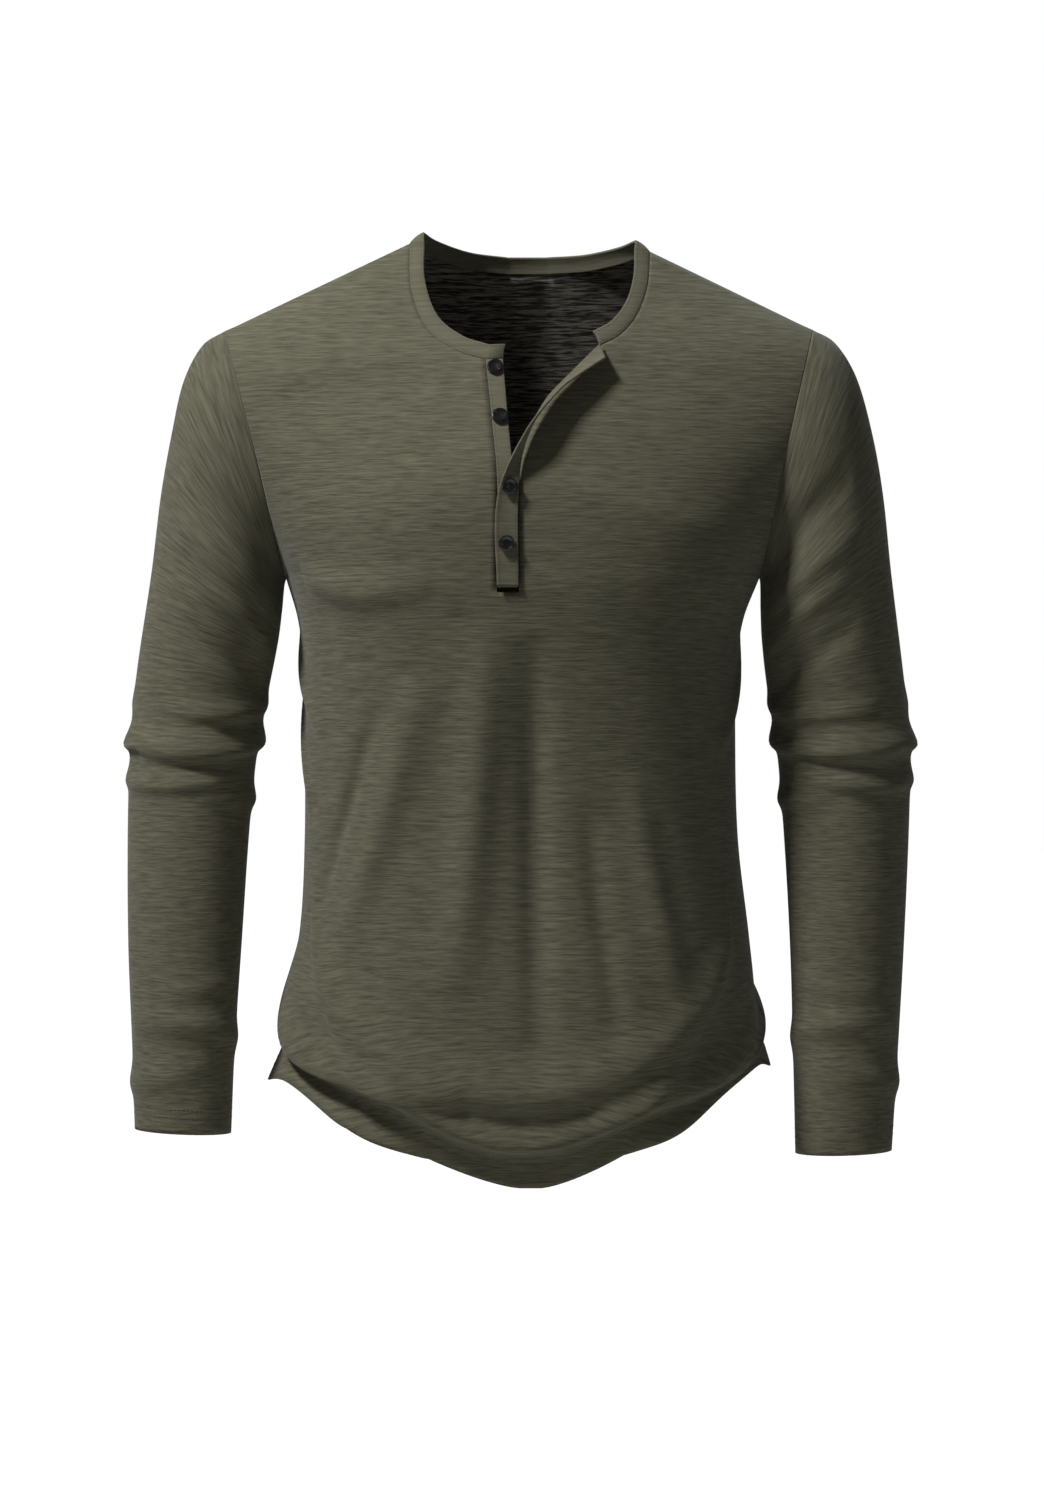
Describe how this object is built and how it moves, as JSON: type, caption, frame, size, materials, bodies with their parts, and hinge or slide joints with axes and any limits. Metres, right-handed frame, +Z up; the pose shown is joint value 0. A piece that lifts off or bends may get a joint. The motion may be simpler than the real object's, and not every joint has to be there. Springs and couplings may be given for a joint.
{
  "type": "long-sleeve henley t-shirt",
  "caption": "Long-sleeved collarless jersey shirt with a narrow neckband, short buttoned placket and curved hem, hollow as worn.",
  "frame": {"origin": "midway between the two high shoulder points, where the wearer's shoulders carry the shirt", "axes": "+Z up, -Y the way the wearer faces, +X the wearer's left"},
  "size_m": [0.5874, 0.2412, 0.7102],
  "materials": {
    "jersey": "olive slub cotton jersey, matt, fine horizontal slubs",
    "trim_jersey": "olive self-fabric jersey, folded and topstitched",
    "button_resin": "black polished resin"
  },
  "bodies": {
    "root": {"front": "jersey", "back": "jersey", "sleeve_right": "jersey", "sleeve_left": "jersey", "neckband": "trim_jersey", "placket_under": "trim_jersey", "placket_over": "trim_jersey", "button_1": "button_resin", "button_2": "button_resin", "button_3": "button_resin", "button_4": "button_resin"}
  },
  "joints": []
}
